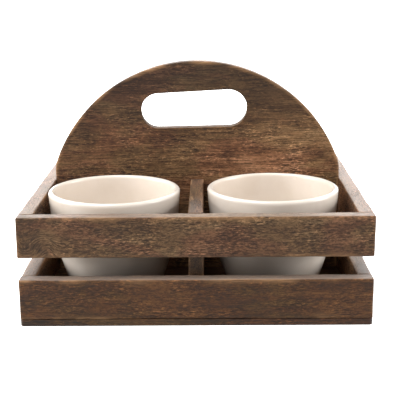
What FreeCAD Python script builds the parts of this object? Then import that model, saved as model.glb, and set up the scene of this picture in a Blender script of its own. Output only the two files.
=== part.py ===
"""Four-bowl serving caddy: a slatted wooden crate crossed by an arched handle board and a divider.

The frame: millimetres, +Z up, the origin on the floor under the middle of the crate. The handle board
stands along X, and the divider runs along Y. The base panel lies under two tiers of rails. Every size
is in the sheet named Sizes, and everything that fits something else reads the same cells.
"""

import FreeCAD
import Part
import os
import Sketcher

SIZES = [
    # the crate
    ("overall_width", 280.0),
    ("overall_depth", 280.0),
    ("board_thickness", 12.0),
    ("rail_height", 33.0),
    ("slat_gap", 18.0),
    ("base_thickness", 5.5),
    ("edge_round", 1.2),
    ("corner_round", 2.0),
    ("base_corner_round", 3.0),
    ("base_edge_round", 0.5),
    # the handle board, its arch and its grip hole
    ("shoulder_height", 13.5),
    ("arch_rise", 92.8),
    ("shoulder_round", 25.0),
    ("grip_below_top", 43.0),
    ("grip_offset", -2.8),
    ("grip_centre_distance", 62.4),
    ("grip_left_radius", 15.6),
    ("grip_right_radius", 16.6),
    ("grip_tilt", 1.9),
    ("lap_height", 42.0),
    # the dowels in the butt joints
    ("dowel_diameter", 5.0),
    ("dowel_length", 20.0),
    ("dowel_chamfer", 0.6),
    ("dowel_pitch", 16.0),
    ("dowel_face_depth", 8.0),
    ("dowel_relief", 1.0),
    # the screws under the base
    ("screw_length", 16.0),
    ("screw_shank_diameter", 3.0),
    ("screw_head_diameter", 5.6),
    ("screw_point_length", 3.0),
    ("screw_recess_span", 3.0),
    ("screw_recess_width", 0.8),
    ("screw_recess_depth", 1.1),
    ("screw_end_distance", 50.0),
    # the bowls
    ("bowl_clearance", 5.5),
    ("bowl_height", 90.5),
    ("bowl_foot_diameter", 72.0),
    ("bowl_wall", 4.6),
    ("bowl_lip_crown", 2.0),
    ("bowl_floor", 6.0),
    ("bowl_bulge", 3.8),
    ("bowl_floor_round", 7.0),
    ("foot_ring_width", 4.5),
    ("foot_recess", 1.5),
    ("foot_round", 0.8),
    # how far each bowl sits off its cell's middle, as a share of its clearance
    ("front_left_across", -0.38),
    ("front_left_along", -0.45),
    ("front_right_across", -0.47),
    ("front_right_along", 0.44),
    ("back_left_across", 0.20),
    ("back_left_along", 0.35),
    ("back_right_across", 0.25),
    ("back_right_along", -0.30),
]

ORIGIN_POINT = (-1, 1)
HORIZONTAL_AXIS = -1
VERTICAL_AXIS = -2

doc = FreeCAD.newDocument("serving_caddy")
sheet = doc.addObject("Spreadsheet::Sheet", "Sizes")
for row, (alias, value) in enumerate(SIZES, start=1):
    sheet.set(f"A{row}", alias)
    sheet.set(f"B{row}", str(value))
    sheet.setAlias(f"B{row}", alias)
doc.recompute()

# Expressions that more than one piece reads.
WIDTH = "Sizes.overall_width"
DEPTH = "Sizes.overall_depth"
BOARD = "Sizes.board_thickness"
RAIL = "Sizes.rail_height"
BASE = "Sizes.base_thickness"
INNER_WIDTH = f"({WIDTH} - 2 * {BOARD})"
INNER_DEPTH = f"({DEPTH} - 2 * {BOARD})"
CELL_WIDTH = f"(({INNER_WIDTH} - {BOARD}) / 2)"
CELL_DEPTH = f"(({INNER_DEPTH} - {BOARD}) / 2)"
CRATE_HEIGHT = f"(2 * {RAIL} + Sizes.slat_gap)"
LOWER_MIDDLE = f"({BASE} + {RAIL} / 2)"
UPPER_MIDDLE = f"({BASE} + 1.5 * {RAIL} + Sizes.slat_gap)"
TIERS = {"lower": LOWER_MIDDLE, "upper": UPPER_MIDDLE}
BOWL_RADIUS = f"(min({CELL_WIDTH}; {CELL_DEPTH}) / 2 - Sizes.bowl_clearance)"
DOWEL_RADIUS = "(Sizes.dowel_diameter / 2)"
DOWEL_END_DEPTH = "(Sizes.dowel_length - Sizes.dowel_face_depth + Sizes.dowel_relief)"
SHANK_RADIUS = "(Sizes.screw_shank_diameter / 2)"
SCREW_HEAD_HEIGHT = "((Sizes.screw_head_diameter - Sizes.screw_shank_diameter) / 2)"
PILOT_DEPTH = f"(Sizes.screw_length - {BASE} + Sizes.dowel_relief)"


def number(expression):
    """The value of an expression over the sheet's cells."""
    return float(sheet.evalExpression(expression.replace("Sizes.", "")))


def plane(body, role):
    return next(part for part in body.Origin.OriginFeatures if part.Role == role)


def new_body(label):
    body = doc.addObject("PartDesign::Body", label)
    body.Label = label
    return body


def new_sketch(body, name, role, offset=None):
    """A sketch on one of the body's own origin planes, moved along the plane's normal by offset."""
    sketch = body.newObject("Sketcher::SketchObject", name)
    sketch.AttachmentSupport = [(plane(body, role), "")]
    sketch.MapMode = "FlatFace"
    if offset is not None:
        sketch.setExpression("AttachmentOffset.Base.z", offset)
    return sketch


def bind(sketch, kind, *what, to):
    """A dimension whose value is the expression to."""
    index = sketch.addConstraint(Sketcher.Constraint(kind, *what, number(to)))
    sketch.setExpression(f"Constraints[{index}]", to)


def place_point(sketch, element, point, x, y):
    """Ties a point of the sketch to the origin by the expressions x and y."""
    for kind, axis, value in (("DistanceX", VERTICAL_AXIS, x), ("DistanceY", HORIZONTAL_AXIS, y)):
        if value == "0":
            sketch.addConstraint(Sketcher.Constraint("PointOnObject", element, point, axis))
        else:
            bind(sketch, kind, *ORIGIN_POINT, element, point, to=value)


def closed_profile(sketch, corners):
    """Lines and arcs through corners of (x, y, bulge): bulge is how far the side from that corner to
    the next stands out to its right, or None for a straight side."""
    count = len(corners)
    spots = [FreeCAD.Vector(number(x), number(y), 0) for x, y, _ in corners]
    ends = []
    for i, (x, y, bulge) in enumerate(corners):
        start, stop = spots[i], spots[(i + 1) % count]
        if bulge is None:
            side = sketch.addGeometry(Part.LineSegment(start, stop), False)
            ends.append((side, 1, 2))
            continue
        chord = stop - start
        outwards = FreeCAD.Vector(chord.y, -chord.x, 0).normalize()
        middle = (start + stop) / 2 + outwards * number(bulge)
        # arcs run anticlockwise in a sketch, so one that bulges inwards is drawn from its far end
        if number(bulge) > 0:
            side = sketch.addGeometry(Part.Arc(start, middle, stop), False)
            ends.append((side, 1, 2))
        else:
            side = sketch.addGeometry(Part.Arc(stop, middle, start), False)
            ends.append((side, 2, 1))
        next_x, next_y, _ = corners[(i + 1) % count]
        half_chord_squared = f"((({next_x}) - ({x}))^2 + (({next_y}) - ({y}))^2) / 4"
        bind(sketch, "Radius", side, to=f"({half_chord_squared} + ({bulge})^2) / (2 * abs({bulge}))")
    for i, (x, y, _) in enumerate(corners):
        side, first, last = ends[i]
        next_side, next_first, _ = ends[(i + 1) % count]
        sketch.addConstraint(Sketcher.Constraint("Coincident", side, last, next_side, next_first))
        place_point(sketch, side, first, x, y)


def rectangle(sketch, left, bottom, right, top):
    closed_profile(
        sketch, [(left, bottom, None), (right, bottom, None), (right, top, None), (left, top, None)]
    )


def circles(sketch, radius, centres):
    for x, y in centres:
        spot = FreeCAD.Vector(number(x), number(y), 0)
        circle = sketch.addGeometry(Part.Circle(spot, FreeCAD.Vector(0, 0, 1), number(radius)), False)
        bind(sketch, "Radius", circle, to=radius)
        place_point(sketch, circle, 3, x, y)


def pad(body, sketch, length, midplane=False):
    feature = body.newObject("PartDesign::Pad", f"{sketch.Name}_pad")
    feature.Profile = sketch
    feature.setExpression("Length", length)
    feature.Midplane = midplane
    doc.recompute()
    return feature


def pocket(body, sketch, depth=None, reverse=False):
    """Cuts the sketch out of the body, right through it where no depth is given."""
    before = body.Shape.Volume
    feature = body.newObject("PartDesign::Pocket", f"{sketch.Name}_cut")
    feature.Profile = sketch
    if depth is None:
        feature.Type = "ThroughAll"
        feature.Midplane = True
    else:
        feature.setExpression("Length", depth)
        feature.Reversed = reverse
    doc.recompute()
    if body.Shape.Volume > before - 1e-3:
        raise RuntimeError(f"{feature.Name} in {body.Label} cuts nothing")
    return feature


def round_edges(body, radius, wanted):
    """Rounds the edges of the body for which wanted(edge) is true."""
    solid = body.Tip
    names = [f"Edge{i}" for i, edge in enumerate(solid.Shape.Edges, start=1) if wanted(edge)]
    feature = body.newObject("PartDesign::Fillet", f"{body.Name}_round")
    feature.Base = (solid, names)
    feature.setExpression("Radius", radius)
    doc.recompute()
    return feature


def put(body, x="0", y="0", z="0", turn=0.0):
    """Places a body in the caddy's frame, turned about Z."""
    body.Placement = FreeCAD.Placement(
        FreeCAD.Vector(0, 0, 0), FreeCAD.Rotation(FreeCAD.Vector(0, 0, 1), turn)
    )
    for axis, value in zip("xyz", (x, y, z)):
        body.setExpression(f"Placement.Base.{axis}", value)


def spans(edge, axis, low, high=None):
    """True if the edge lies in the plane axis = low, or runs from low to high along that axis."""
    box = edge.BoundBox
    ends = getattr(box, f"{axis}Min"), getattr(box, f"{axis}Max")
    high = low if high is None else high
    return abs(ends[0] - low) < 1e-4 and abs(ends[1] - high) < 1e-4


def dowel_pairs(x):
    """Two dowel centres, one above the other about a rail's middle, at x."""
    return [(x, "-Sizes.dowel_pitch / 2"), (x, "Sizes.dowel_pitch / 2")]


def both_sides(x):
    return [f"-({x})", x]


def screw_places(run):
    """How far the two screws in a board of the given run lie from its middle."""
    return both_sides(f"({run} / 2 - Sizes.screw_end_distance)")


def pilot_holes(body, run, bottom):
    """Two screw holes up into the bottom edge of a board that runs along X."""
    sketch = new_sketch(body, f"{body.Name}_pilots", "XY_Plane", bottom)
    circles(sketch, SHANK_RADIUS, [(x, "0") for x in screw_places(run)])
    pocket(body, sketch, PILOT_DEPTH, reverse=True)


def end_dowel_holes(body, length, heights):
    """Dowel holes in both ends of a board that runs along X, at the given heights."""
    for side, reach in zip(("left", "right"), both_sides(f"{length} / 2")):
        sketch = new_sketch(body, f"{body.Name}_{side}_end", "YZ_Plane", reach)
        circles(sketch, DOWEL_RADIUS, [("0", z) for z in heights])
        pocket(body, sketch, DOWEL_END_DEPTH, reverse=side == "left")


def make_rail(side, tier):
    """One rail, made along X with its inner face towards +Y, then turned to its side of the crate.

    The front and back rails run the full width, and the left and right rails butt between them.
    """
    runs_full = side in ("front", "back")
    length = WIDTH if runs_full else INNER_DEPTH
    body = new_body(f"{tier}_{side}_rail")
    section = new_sketch(body, f"{body.Name}_section", "YZ_Plane")
    rectangle(section, f"-{BOARD} / 2", f"-{RAIL} / 2", f"{BOARD} / 2", f"{RAIL} / 2")
    pad(body, section, length, midplane=True)

    half_length, half_board, half_rail = (number(v) / 2 for v in (length, BOARD, RAIL))
    if runs_full:
        round_edges(
            body,
            "Sizes.corner_round",
            lambda e: spans(e, "Z", -half_rail, half_rail) and spans(e, "Y", -half_board),
        )
        round_edges(
            body,
            "Sizes.edge_round",
            lambda e: spans(e, "Z", -half_rail) or spans(e, "Z", half_rail),
        )
    else:
        round_edges(body, "Sizes.edge_round", lambda e: spans(e, "X", -half_length, half_length))

    face_holes = dowel_pairs("0")
    if runs_full:
        for x in both_sides(f"({WIDTH} - {BOARD}) / 2"):
            face_holes += dowel_pairs(x)
    face = new_sketch(body, f"{body.Name}_inner_face", "XZ_Plane", f"-{BOARD} / 2")
    circles(face, DOWEL_RADIUS, face_holes)
    pocket(body, face, "Sizes.dowel_face_depth", reverse=True)
    if not runs_full:
        end_dowel_holes(body, length, [z for _, z in dowel_pairs("0")])
    if tier == "lower":
        pilot_holes(body, WIDTH if runs_full else DEPTH, f"-{RAIL} / 2")

    across = f"({WIDTH} - {BOARD}) / 2"
    along = f"({DEPTH} - {BOARD}) / 2"
    x, y, turn = {
        "front": ("0", f"-{along}", 0),
        "right": (across, "0", 90),
        "back": ("0", along, 180),
        "left": (f"-{across}", "0", 270),
    }[side]
    put(body, x, y, TIERS[tier], turn)
    return body


def tier_heights(tier):
    return [f"{TIERS[tier]} {sign} Sizes.dowel_pitch / 2" for sign in "-+"]


def end_dowel_heights():
    """Dowel heights in a board that stands on the base, counted from its bottom edge."""
    return [f"{height} - {BASE}" for tier in TIERS for height in tier_heights(tier)]


def make_handle_board():
    """The arched board, from the base panel up. Its lower half is notched for the divider."""
    body = new_body("handle_board")
    half = f"{INNER_WIDTH} / 2"
    shoulder = f"({CRATE_HEIGHT} + Sizes.shoulder_height)"
    outline = new_sketch(body, "handle_outline", "XZ_Plane")
    closed_profile(
        outline,
        [
            (f"-{half}", "0", None),
            (half, "0", None),
            (half, shoulder, "Sizes.arch_rise"),
            (f"-{half}", shoulder, None),
        ],
    )
    pad(body, outline, BOARD, midplane=True)
    board, shoulder_z = number(BOARD), number(shoulder)
    round_edges(
        body,
        "Sizes.shoulder_round",
        lambda e: spans(e, "Y", -board / 2, board / 2) and spans(e, "Z", shoulder_z),
    )
    cut_grip(body, shoulder)
    round_edges(
        body,
        "Sizes.edge_round",
        lambda e: (spans(e, "Y", -board / 2) or spans(e, "Y", board / 2)) and not spans(e, "Z", 0),
    )
    notch = new_sketch(body, "handle_notch", "XZ_Plane")
    rectangle(notch, f"-{BOARD} / 2", "0", f"{BOARD} / 2", "Sizes.lap_height")
    pocket(body, notch)
    end_dowel_holes(body, INNER_WIDTH, end_dowel_heights())
    pilot_holes(body, WIDTH, "0")
    put(body, z=BASE)
    return body


def cut_grip(body, shoulder):
    """The grip hole: two round ends of their own radii, joined by straight sides, tilted a little."""
    sketch = new_sketch(body, "handle_grip", "XZ_Plane")
    middle = f"({shoulder} + Sizes.arch_rise - Sizes.grip_below_top)"
    reach = "Sizes.grip_centre_distance / 2"
    ends = []
    for side, sign, outwards in (("left", "-", -1), ("right", "+", 1)):
        x = f"Sizes.grip_offset {sign} {reach} * cos(Sizes.grip_tilt)"
        z = f"{middle} {sign} {reach} * sin(Sizes.grip_tilt)"
        radius = f"Sizes.grip_{side}_radius"
        centre = FreeCAD.Vector(number(x), number(z), 0)
        up = FreeCAD.Vector(0, number(radius), 0)
        tip = centre + FreeCAD.Vector(outwards * number(radius), 0, 0)
        arc = sketch.addGeometry(Part.Arc(centre - up * outwards, tip, centre + up * outwards), False)
        ends.append((arc, x, z, radius, centre + up, centre - up))
    left, right = ends
    top = sketch.addGeometry(Part.LineSegment(left[4], right[4]), False)
    low = sketch.addGeometry(Part.LineSegment(left[5], right[5]), False)
    # both arcs run anticlockwise: the left one starts at the top, and the right one at the bottom
    joins = ((top, 1, left, 1), (low, 1, left, 2), (low, 2, right, 1), (top, 2, right, 2))
    for side, point, arc, arc_point in joins:
        sketch.addConstraint(Sketcher.Constraint("Tangent", side, point, arc[0], arc_point))
    for arc, x, z, radius, _, _ in ends:
        bind(sketch, "Radius", arc, to=radius)
        place_point(sketch, arc, 3, x, z)
    pocket(body, sketch)


def make_divider():
    """The divider, made along X and turned to run front to back. Its upper half is notched."""
    body = new_body("divider")
    section = new_sketch(body, "divider_section", "YZ_Plane")
    rectangle(section, f"-{BOARD} / 2", "0", f"{BOARD} / 2", CRATE_HEIGHT)
    pad(body, section, INNER_DEPTH, midplane=True)
    half_length, height = number(INNER_DEPTH) / 2, number(CRATE_HEIGHT)
    round_edges(
        body,
        "Sizes.edge_round",
        lambda e: spans(e, "X", -half_length, half_length) and spans(e, "Z", height),
    )
    notch = new_sketch(body, "divider_notch", "XZ_Plane")
    rectangle(notch, f"-{BOARD} / 2", "Sizes.lap_height", f"{BOARD} / 2", CRATE_HEIGHT)
    pocket(body, notch)
    end_dowel_holes(body, INNER_DEPTH, end_dowel_heights())
    pilot_holes(body, DEPTH, "0")
    put(body, z=BASE, turn=90)
    return body


def base_screw_centres():
    """Every screw under the base: two up into each lower rail, the handle board and the divider."""
    across = f"({WIDTH} - {BOARD}) / 2"
    along = f"({DEPTH} - {BOARD}) / 2"
    found = [(x, y) for x in screw_places(WIDTH) for y in (f"-{along}", "0", along)]
    found += [(x, y) for y in screw_places(DEPTH) for x in (f"-{across}", "0", across)]
    return found


def make_base_panel():
    body = new_body("base_panel")
    outline = new_sketch(body, "base_outline", "XY_Plane")
    rectangle(outline, f"-{WIDTH} / 2", f"-{DEPTH} / 2", f"{WIDTH} / 2", f"{DEPTH} / 2")
    pad(body, outline, BASE)
    top = number(BASE)
    round_edges(body, "Sizes.base_corner_round", lambda e: spans(e, "Z", 0, top))
    round_edges(body, "Sizes.base_edge_round", lambda e: spans(e, "Z", 0) or spans(e, "Z", top))

    centres = new_sketch(body, "base_screw_centres", "XY_Plane")
    circles(centres, SHANK_RADIUS, base_screw_centres())
    doc.recompute()
    before = body.Shape.Volume
    hole = body.newObject("PartDesign::Hole", "base_screw_holes")
    hole.Profile = centres
    hole.Reversed = True
    hole.DepthType = "ThroughAll"
    hole.setExpression("Diameter", "Sizes.screw_shank_diameter")
    hole.HoleCutType = "Countersink"
    hole.HoleCutCustomValues = True
    hole.HoleCutCountersinkAngle = 90
    hole.setExpression("HoleCutDiameter", "Sizes.screw_head_diameter")
    doc.recompute()
    if body.Shape.Volume > before - 1e-3:
        raise RuntimeError("the screw holes cut nothing")
    put(body)
    return body


def make_bowl(label, x, y):
    """A turned stoneware bowl: curved wall, rounded lip and foot ring."""
    body = new_body(label)
    profile = new_sketch(body, f"{label}_profile", "XZ_Plane")
    foot = "Sizes.bowl_foot_diameter / 2"
    ring = f"({foot} - Sizes.foot_ring_width)"
    lip_start = "(Sizes.bowl_height - Sizes.bowl_lip_crown)"
    inner_floor = f"({foot} - Sizes.bowl_wall + Sizes.foot_recess)"
    closed_profile(
        profile,
        [
            ("0", "Sizes.foot_recess", None),
            (ring, "Sizes.foot_recess", None),
            (ring, "0", None),
            (foot, "0", "Sizes.bowl_bulge"),
            (BOWL_RADIUS, lip_start, "Sizes.bowl_lip_crown"),
            (f"({BOWL_RADIUS} - Sizes.bowl_wall)", lip_start, "-Sizes.bowl_bulge"),
            (inner_floor, "Sizes.bowl_floor", None),
            ("0", "Sizes.bowl_floor", None),
        ],
    )
    turned = body.newObject("PartDesign::Revolution", f"{label}_turned")
    turned.Profile = profile
    turned.ReferenceAxis = (profile, ["V_Axis"])
    turned.Angle = 360
    doc.recompute()
    floor, floor_radius = number("Sizes.bowl_floor"), number(inner_floor)
    round_edges(
        body,
        "Sizes.bowl_floor_round",
        lambda e: spans(e, "Z", floor) and abs(e.BoundBox.XMax - floor_radius) < 1e-3,
    )
    round_edges(body, "Sizes.foot_round", lambda e: spans(e, "Z", 0))
    put(body, x, y, BASE)
    return body


def make_bowls():
    """One bowl in each cell, set down a little off the cell's middle."""
    sign = {"front": "-", "back": "", "left": "-", "right": ""}
    bowls = []
    for end in ("front", "back"):
        for side in ("left", "right"):
            across = f"Sizes.{end}_{side}_across * Sizes.bowl_clearance"
            along = f"Sizes.{end}_{side}_along * Sizes.bowl_clearance"
            x = f"{sign[side]}({CELL_WIDTH} + {BOARD}) / 2 + {across}"
            y = f"{sign[end]}({CELL_DEPTH} + {BOARD}) / 2 + {along}"
            bowls.append(make_bowl(f"bowl_{end}_{side}", x, y))
    return bowls


def make_dowel_blank():
    """One dowel along Z from the origin, with chamfered ends."""
    body = new_body("dowel_blank")
    profile = new_sketch(body, "dowel_profile", "XZ_Plane")
    bevel, radius, length = "Sizes.dowel_chamfer", DOWEL_RADIUS, "Sizes.dowel_length"
    closed_profile(
        profile,
        [
            ("0", "0", None),
            (f"({radius} - {bevel})", "0", None),
            (radius, bevel, None),
            (radius, f"({length} - {bevel})", None),
            (f"({radius} - {bevel})", length, None),
            ("0", length, None),
        ],
    )
    turned = body.newObject("PartDesign::Revolution", "dowel_turned")
    turned.Profile = profile
    turned.ReferenceAxis = (profile, ["V_Axis"])
    turned.Angle = 360
    doc.recompute()
    return body


def make_screw_blank():
    """One countersunk screw pointing up along Z, its head's face at the origin, with a cross recess."""
    body = new_body("screw_blank")
    profile = new_sketch(body, "screw_profile", "XZ_Plane")
    length, point = "Sizes.screw_length", "Sizes.screw_point_length"
    closed_profile(
        profile,
        [
            ("0", "0", None),
            ("Sizes.screw_head_diameter / 2", "0", None),
            (SHANK_RADIUS, SCREW_HEAD_HEIGHT, None),
            (SHANK_RADIUS, f"({length} - {point})", None),
            ("0", length, None),
        ],
    )
    turned = body.newObject("PartDesign::Revolution", "screw_turned")
    turned.Profile = profile
    turned.ReferenceAxis = (profile, ["V_Axis"])
    turned.Angle = 360
    doc.recompute()
    span, width = "Sizes.screw_recess_span / 2", "Sizes.screw_recess_width / 2"
    for name, x, y in (("screw_slot_across", span, width), ("screw_slot_along", width, span)):
        slot = new_sketch(body, name, "XY_Plane")
        rectangle(slot, f"-{x}", f"-{y}", x, y)
        pocket(body, slot, "Sizes.screw_recess_depth", reverse=True)
    return body


def group(label, blank, spots):
    """Copies of a blank at spots of (x, y, z, rotation), held together as one sub-part."""
    links = []
    for count, (x, y, z, rotation) in enumerate(spots, start=1):
        link = doc.addObject("App::Link", f"{label}_{count}")
        link.setLink(blank)
        link.Placement = FreeCAD.Placement(FreeCAD.Vector(0, 0, 0), rotation)
        for axis, value in zip("xyz", (x, y, z)):
            link.setExpression(f"Placement.Base.{axis}", value)
        links.append(link)
    compound = doc.addObject("Part::Compound", label)
    compound.Label = label
    compound.Links = links
    return compound


TOWARDS = {
    "right": FreeCAD.Rotation(FreeCAD.Vector(0, 1, 0), 90),
    "left": FreeCAD.Rotation(FreeCAD.Vector(0, 1, 0), -90),
    "back": FreeCAD.Rotation(FreeCAD.Vector(1, 0, 0), -90),
    "front": FreeCAD.Rotation(FreeCAD.Vector(1, 0, 0), 90),
}


def make_dowel_groups(blank):
    """The dowels of each joint, with one end at the bottom of its hole in a rail's inner face."""
    seat = f"({BOARD} - Sizes.dowel_face_depth)"
    from_side = f"({WIDTH} / 2 - {seat})"
    from_end = f"({DEPTH} / 2 - {seat})"
    groups = []
    for tier in TIERS:
        spots = []
        for x in both_sides(f"({WIDTH} - {BOARD}) / 2"):
            for z in tier_heights(tier):
                spots.append((x, f"-{from_end}", z, TOWARDS["back"]))
                spots.append((x, from_end, z, TOWARDS["front"]))
        groups.append(group(f"{tier}_corner_dowels", blank, spots))
    handle_spots, divider_spots = [], []
    for tier in TIERS:
        for z in tier_heights(tier):
            handle_spots.append((f"-{from_side}", "0", z, TOWARDS["right"]))
            handle_spots.append((from_side, "0", z, TOWARDS["left"]))
            divider_spots.append(("0", f"-{from_end}", z, TOWARDS["back"]))
            divider_spots.append(("0", from_end, z, TOWARDS["front"]))
    groups.append(group("handle_board_dowels", blank, handle_spots))
    groups.append(group("divider_dowels", blank, divider_spots))
    return groups


def make_base_screws(blank):
    upright = FreeCAD.Rotation()
    return group("base_screws", blank, [(x, y, "0", upright) for x, y in base_screw_centres()])


def check(shapes):
    """Stops before anything is written if an object failed or a sub-part has no sound solid."""
    for item in doc.Objects:
        if any(word in item.State for word in ("Invalid", "Error")):
            raise RuntimeError(f"{item.Label} failed: {item.State}")
    for item in shapes:
        shape = item.Shape
        if shape.isNull() or not shape.isValid() or not shape.Solids:
            raise RuntimeError(f"{item.Label} has no valid solid")


parts = [make_base_panel()]
parts += [make_rail(side, tier) for tier in TIERS for side in ("front", "right", "back", "left")]
parts += [make_handle_board(), make_divider()]
parts += make_bowls()
parts += make_dowel_groups(make_dowel_blank())
parts.append(make_base_screws(make_screw_blank()))
doc.recompute()
check(parts)

os.makedirs("parts", exist_ok=True)
for part in parts:
    part.Shape.exportStep(f"parts/{part.Label}.step")
    print(f"{part.Label:22s} solids {len(part.Shape.Solids):2d}  volume {part.Shape.Volume:10.1f}")
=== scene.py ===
"""Looks of the serving caddy: sanded and stained slats, a hand-cut handle board, turned bowls."""

import bmesh
import bpy
import itertools
import math
import numpy as np
from mathutils import Matrix, Vector


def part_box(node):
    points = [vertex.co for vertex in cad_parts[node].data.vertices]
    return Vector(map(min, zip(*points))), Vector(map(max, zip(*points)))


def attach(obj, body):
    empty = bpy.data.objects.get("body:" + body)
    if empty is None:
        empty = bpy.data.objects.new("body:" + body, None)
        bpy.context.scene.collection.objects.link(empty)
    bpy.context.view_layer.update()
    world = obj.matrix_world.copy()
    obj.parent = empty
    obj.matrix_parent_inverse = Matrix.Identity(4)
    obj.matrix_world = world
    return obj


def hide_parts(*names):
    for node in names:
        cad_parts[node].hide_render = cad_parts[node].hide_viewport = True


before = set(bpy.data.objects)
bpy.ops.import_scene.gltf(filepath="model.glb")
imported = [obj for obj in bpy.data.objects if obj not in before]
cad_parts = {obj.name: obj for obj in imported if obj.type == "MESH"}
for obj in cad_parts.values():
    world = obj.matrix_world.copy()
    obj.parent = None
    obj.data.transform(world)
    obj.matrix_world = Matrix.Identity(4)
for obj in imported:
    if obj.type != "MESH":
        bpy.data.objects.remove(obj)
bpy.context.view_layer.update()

MM = 0.001

# How the boards are cut and sanded: their rows of faces, their rubbed edges and their planed faces.
BOARD_SPACING = 3.0 * MM
EDGE_CROWDING = 1.7
EDGE_RADIUS = 0.7 * MM
EDGE_WEAR = 1.1 * MM
FACE_HOLLOW = 0.2 * MM
FEWEST_ROWS = 9.0

# The handle board's arch, grip hole and lap, as the joiner marks them out.
SHOULDER_HEIGHT = 13.5 * MM
SHOULDER_ROUND = 25.0 * MM
GRIP_BELOW_TOP = 43.0 * MM
GRIP_OFFSET = -2.8 * MM
GRIP_CENTRE_DISTANCE = 62.4 * MM
GRIP_LEFT_RADIUS = 15.6 * MM
GRIP_RIGHT_RADIUS = 16.6 * MM
GRIP_TILT = 1.9
LAP_HEIGHT = 42.0 * MM

# How the handle board is sawn: the step along its edge, the rows across its face, the saw's waver.
CUT_SPACING = 2.2 * MM
FACE_ROWS = 36
CUT_WAVER = 0.35 * MM
GRIP_ROUNDING = 0.6
EDGE_TURNS = np.radians([0, 18, 36, 54, 72, 90])

# The bowl's profile, as the potter turns it, and how far from round it may be. The rim's radius and
# the height come from the model.
BOWL_PROFILE = {
    "Foot Radius": 36.0 * MM,
    "Wall": 4.6 * MM,
    "Crown": 2.0 * MM,
    "Bulge": 3.8 * MM,
    "Floor": 6.0 * MM,
    "Floor Round": 7.0 * MM,
    "Ring Width": 4.5 * MM,
    "Recess": 1.5 * MM,
    "Foot Round": 0.8 * MM,
    "Wobble": 0.012,
}
BOWL_SAG = 0.012
BOWL_FACETS = 128
BOWL_SEED_STEP = 3.7

# The wood: the grain's direction, how far it drifts (along the board, across it and up it), how
# closely the growth rings lie, and how far below and beside the board's middle their pith is.
GRAIN_AXES = {"x": (1, 0, 0), "y": (0, 1, 0)}
GRAIN_DRIFT = (0.0, 9.0 * MM, 9.0 * MM)
DRIFT_SCALE = (9.0, 26.0, 26.0)
RING_SCALE = 260.0
PITH_BELOW = 0.12
PITH_ASIDE = 0.05

# The knot in the upper front rail: its place from the rail's left end and lower edge, how far the
# grain swirls about it, and by how much.
KNOT_FROM_LEFT = 15 * MM
KNOT_FROM_BELOW = 8 * MM
KNOT_REACH = 20 * MM
KNOT_TURN = 1.1

# Open pores: the length and width of their cells, and how far each reaches from its middle.
PORE_CELLS = [(9.0 * MM, 1.25 * MM, 0.38), (6.0 * MM, 0.9 * MM, 0.40)]

# The stain's colour from where it is deepest to where it is palest.
STAIN_DEPTHS = [
    (0.36, (0.036, 0.0165, 0.0080)),
    (0.47, (0.082, 0.0410, 0.0205)),
    (0.56, (0.135, 0.0730, 0.0385)),
    (0.68, (0.230, 0.1380, 0.0780)),
]
REDDISH = (1.07, 0.95, 0.90)
OLIVE = (0.96, 1.00, 0.88)
OPEN_PORE = (0.014, 0.007, 0.004)
SOAKED_END_GRAIN = (0.020, 0.011, 0.007)
DARK_BARE_WOOD = (0.25, 0.115, 0.045)
PALE_BARE_WOOD = (0.46, 0.270, 0.135)
# painted sheen: the pale grey that faces looking up are painted towards, as light glancing off them
# would show
PAINTED_SHEEN_GREY = (0.36, 0.300, 0.255)

# How much paler than the wood about them the flecks are.
PALE_FLECK = 1.9

# How each tier of rails, the handle board, its grip hole and the base are stained. The lower tier and
# the base are darker partly by their stain and partly by painted shade, as less light reaches the
# bottom of the caddy.
RAIL_STAINS_AND_SHADE = {
    "upper": {"tone": (1.15, 1.16, 1.18), "warmth": 0.65, "pores": 0.9, "speckle": 0.8},
    "lower": {"tone": (0.69, 0.605, 0.43), "warmth": 0.8, "pores": 0.8, "speckle": 0.7},
}
# how strongly the rails' up-facing faces are given painted sheen
RAIL_PAINTED_SHEEN = 0.46
HANDLE_TONE = (1.02, 1.0, 0.98)
HANDLE_WARMTH = 0.6
GRIP_TONE = (0.8, 0.8, 0.8)
GRIP_GLOSS = 0.02
BASE_TONE_AND_SHADE = (0.42, 0.365, 0.295)

# Fades in the colour. The rails' top one is painted sheen, a paler band along their tops where light
# glances off them; the handle board's make it darker up the arch and paler to the right. The first
# two numbers say where one starts and ends below the board's top, or as a share of its half width,
# and the last says what share of its tone the colour has past the end.
RAIL_TOP_SHEEN_BAND = (2.2 * MM, 0.6 * MM, 1.4)
HANDLE_TOP_FADE = (80 * MM, 8 * MM, 0.38)
HANDLE_SIDE_FADE = (0.8, 0.8, 1.40)

# The glaze's body from its thin places to its thick ones, the painted highlight that makes the lip
# paler, and its pinholes.
GLAZE_BODY = [(0.35, (0.765, 0.668, 0.570)), (0.65, (0.815, 0.724, 0.632))]
PAINTED_LIP_HIGHLIGHT = (0.86, 0.79, 0.71)
GLAZE_PINHOLE = (0.45, 0.34, 0.24)

# The stage: how far the floor reaches, its glow, the backdrop's height and the room's light.
FLOOR_REACH = 12.0
FLOOR_GREY = 0.95
FLOOR_GLOW = 0.82
BACKDROP_REACH = 0.9 * FLOOR_REACH
BACKDROP_HEIGHT = 0.8 * FLOOR_REACH
BACKDROP_SIDES = 48
ROOM_LOW_LIGHT = 0.17
ROOM_HIGH_LIGHT = 0.42
ROOM_LIGHT_RISE = 0.8

# The softboxes: name, place, power, width and height. They all face the same point.
LIT_POINT = (0, 0, 0.05)
SOFTBOXES = [
    ("key_softbox", (-0.55, -0.75, 1.45), 25.5, 1.0, 1.0),
    ("left_softbox", (-1.2, -0.15, 0.28), 14.0, 0.7, 0.6),
    ("right_softbox", (1.2, -0.15, 0.28), 14.0, 0.7, 0.6),
    ("back_softbox", (0.0, 1.7, 0.82), 54.0, 3.2, 0.9),
]

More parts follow.
